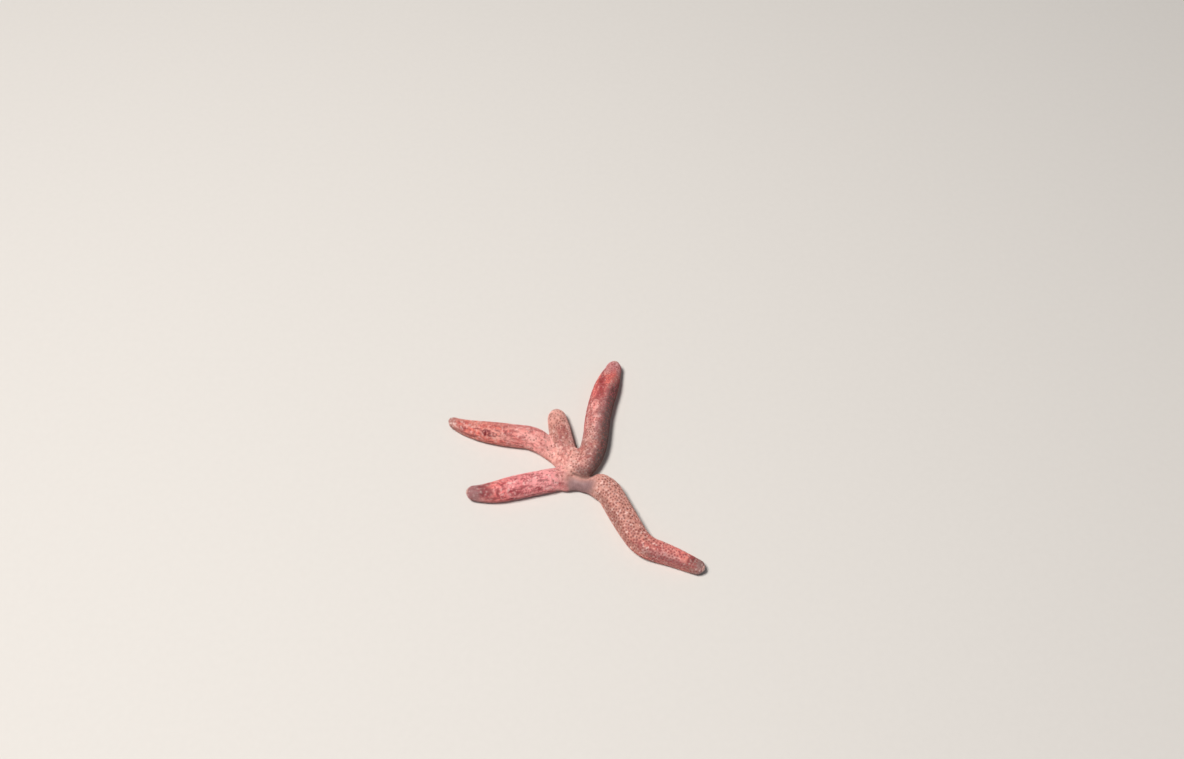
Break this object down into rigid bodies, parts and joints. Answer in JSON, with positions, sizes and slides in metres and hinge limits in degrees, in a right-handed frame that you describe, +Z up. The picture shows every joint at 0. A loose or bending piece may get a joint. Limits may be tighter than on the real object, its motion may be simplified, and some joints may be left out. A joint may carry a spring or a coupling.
{
  "type": "starfish",
  "caption": "Slender-armed starfish lying at rest: blunt, gently bent arms of unequal length round a tiny disc, with a short regrowing stump and grooves beneath.",
  "frame": {"origin": "on the floor, under the middle of the whole body's box; the mouth is about 1 mm to -X and 4.8 mm to -Y of it", "axes": "+Z up from the floor through the back; +X towards the tip of the longest arm, along the widest spread; +Y towards the tip of the far right arm"},
  "size_m": [0.1206, 0.1128, 0.0114],
  "materials": {
    "granular_skin": "matte",
    "granules": "matte",
    "papulae": "satin",
    "tube_feet": "satin",
    "terminal_plate": "matte",
    "madreporite": "matte",
    "eye_spot": "satin"
  },
  "bodies": {
    "root": {"disc": "granular_skin", "madreporite": "madreporite", "arm_far_left_base": "granular_skin", "arm_far_left_middle": "granular_skin", "arm_far_left_tip": "granular_skin", "arm_far_left_plate": "terminal_plate", "arm_short_base": "granular_skin", "arm_short_tip": "granular_skin", "arm_short_plate": "terminal_plate", "arm_far_right_base": "granular_skin", "arm_far_right_middle": "granular_skin", "arm_far_right_tip": "granular_skin", "arm_far_right_plate": "terminal_plate", "arm_long_base": "granular_skin", "arm_long_middle": "granular_skin", "arm_long_tip": "granular_skin", "arm_long_plate": "terminal_plate", "arm_near_left_base": "granular_skin", "arm_near_left_middle": "granular_skin", "arm_near_left_tip": "granular_skin", "arm_near_left_plate": "terminal_plate"}
  },
  "joints": []
}
